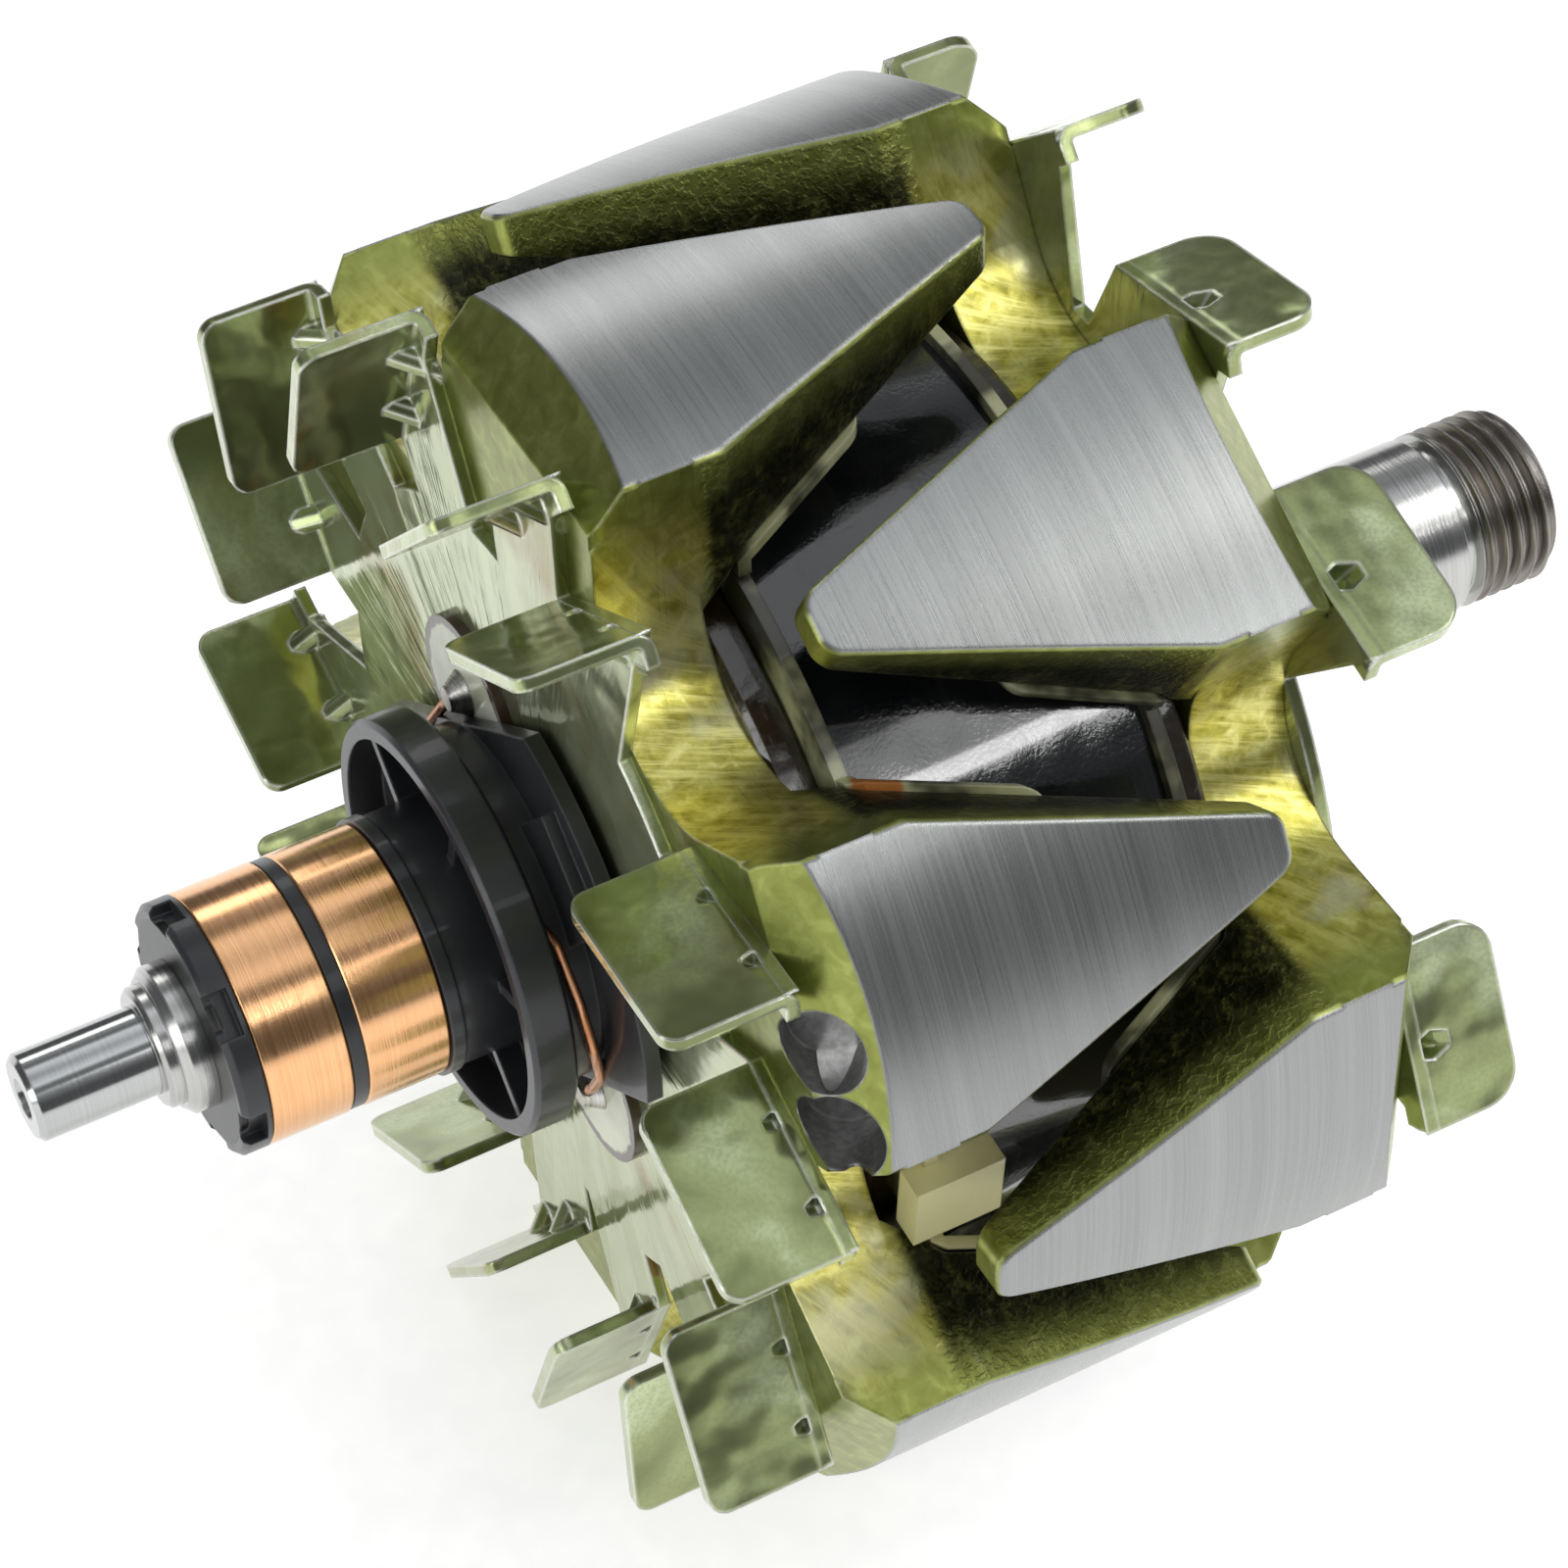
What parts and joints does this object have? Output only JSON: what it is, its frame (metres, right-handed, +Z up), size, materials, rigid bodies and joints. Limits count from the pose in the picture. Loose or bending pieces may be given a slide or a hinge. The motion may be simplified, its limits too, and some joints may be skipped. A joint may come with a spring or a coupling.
{
  "type": "alternator rotor",
  "caption": "Claw pole rotor on a stepped shaft, with bladed sheet fans on both poles, a coil between the claws and a two-ring slip ring hub.",
  "frame": {"origin": "on the rotor axis at the shoulder where the drive end bearing stands against the spacer", "axes": "+X along the axis towards the threaded drive end, +Z up"},
  "size_m": [0.1502, 0.115, 0.115],
  "materials": {
    "turned_steel": "turned, bare, faint rings",
    "plated_forging": "olive-yellow chromate, outer faces ground bright",
    "plated_sheet": "zinc with pale green-yellow chromate",
    "dark_varnish": "dark brown, varnished",
    "black_varnish": "black varnish, glossy",
    "pale_moulding": "pale grey-green moulding",
    "black_moulding": "black, satin",
    "copper": "copper, polished on the rings",
    "pale_board": "pale grey-green board",
    "tin_solder": "dull tin"
  },
  "bodies": {
    "root": {"shaft": "turned_steel", "rear_claw_pole": "plated_forging", "front_claw_pole": "plated_forging", "pole_core": "turned_steel", "rear_insulating_washer": "dark_varnish", "front_insulating_washer": "dark_varnish", "bobbin": "pale_moulding", "field_winding": "copper", "winding_wrap": "black_varnish", "rear_fan": "plated_sheet", "front_fan": "plated_sheet", "drive_end_spacer": "turned_steel", "slip_ring_hub": "black_moulding", "outer_slip_ring": "copper", "inner_slip_ring": "copper", "outer_ring_lead": "copper", "inner_ring_lead": "copper", "coil_start_lead": "copper", "coil_finish_lead": "copper", "lead_carrier": "pale_board", "solder_joints": "tin_solder", "hub_end_washer": "turned_steel"}
  },
  "joints": []
}
